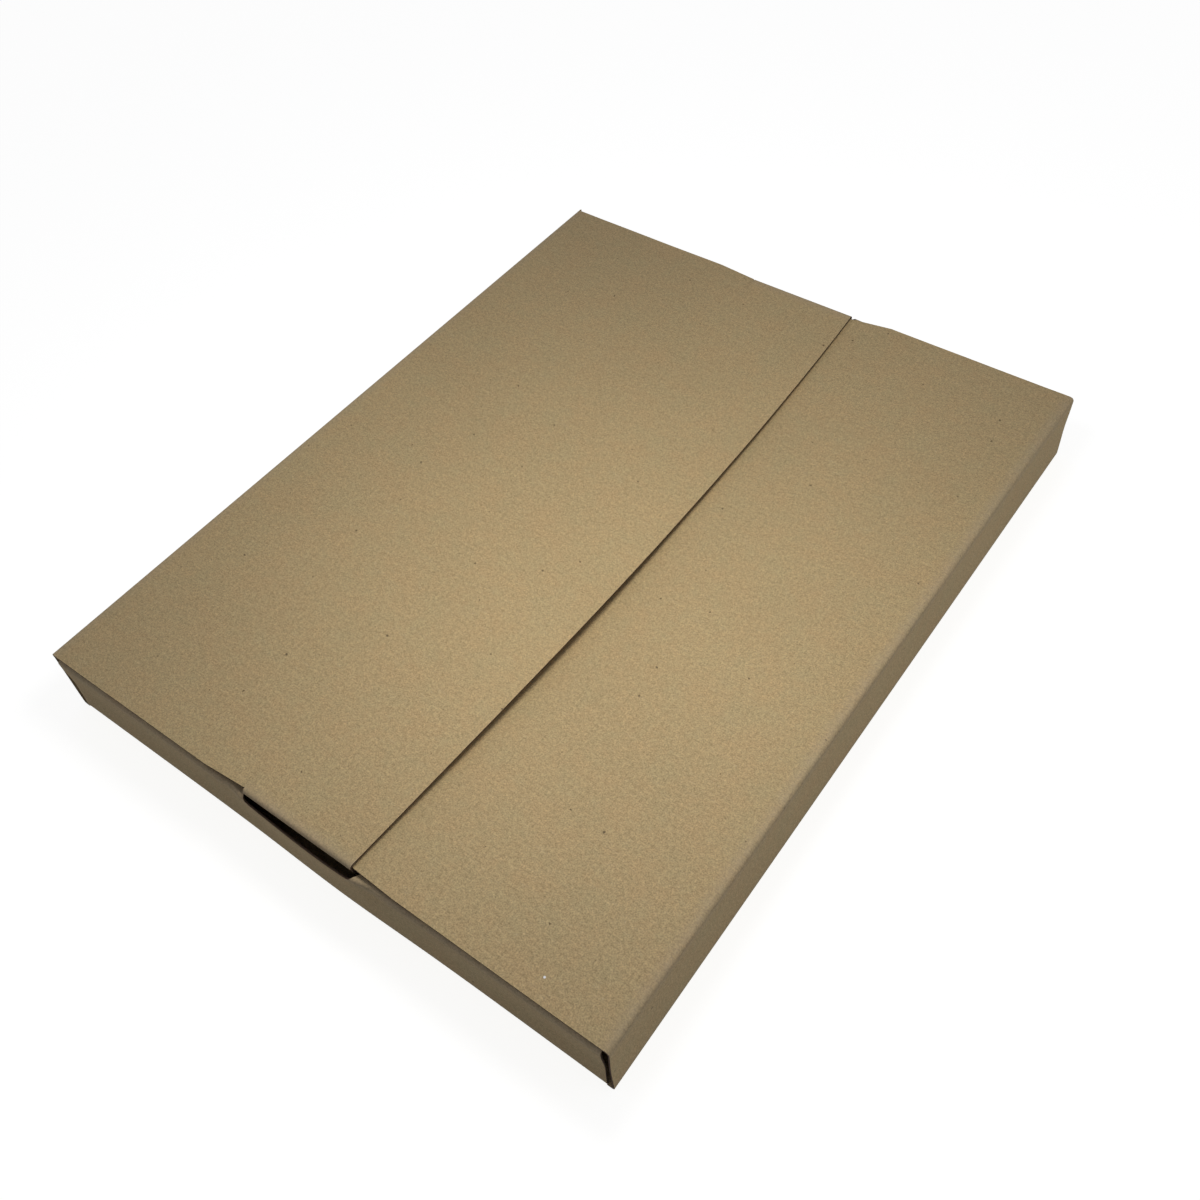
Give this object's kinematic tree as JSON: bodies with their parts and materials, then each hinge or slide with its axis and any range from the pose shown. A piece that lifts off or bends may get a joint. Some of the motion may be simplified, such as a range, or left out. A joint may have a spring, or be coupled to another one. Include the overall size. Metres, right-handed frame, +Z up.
{
  "type": "slim folding card box",
  "caption": "Slim closed folding box of brown kraft card with overlapping top flaps and end tabs tucked into slots in the end walls.",
  "frame": {"origin": "middle of the foot, on the surface that the box lies on", "axes": "+X across the width from the outer flap's fold to the inner flap's fold, +Y along the length, +Z up"},
  "size_m": [0.25, 0.3236, 0.0335],
  "materials": {
    "kraft_card": "uncoated brown kraft, matte"
  },
  "bodies": {
    "box": {"card_box": "kraft_card"},
    "flap": {"outer_flap": "kraft_card"}
  },
  "joints": [
    {"name": "outer_flap_fold", "type": "hinge", "parent": "box", "child": "flap", "pos_m": [-0.12515, 0, 0.03125], "axis": [0, -1, 0], "range_deg": [0, 175]}
  ]
}
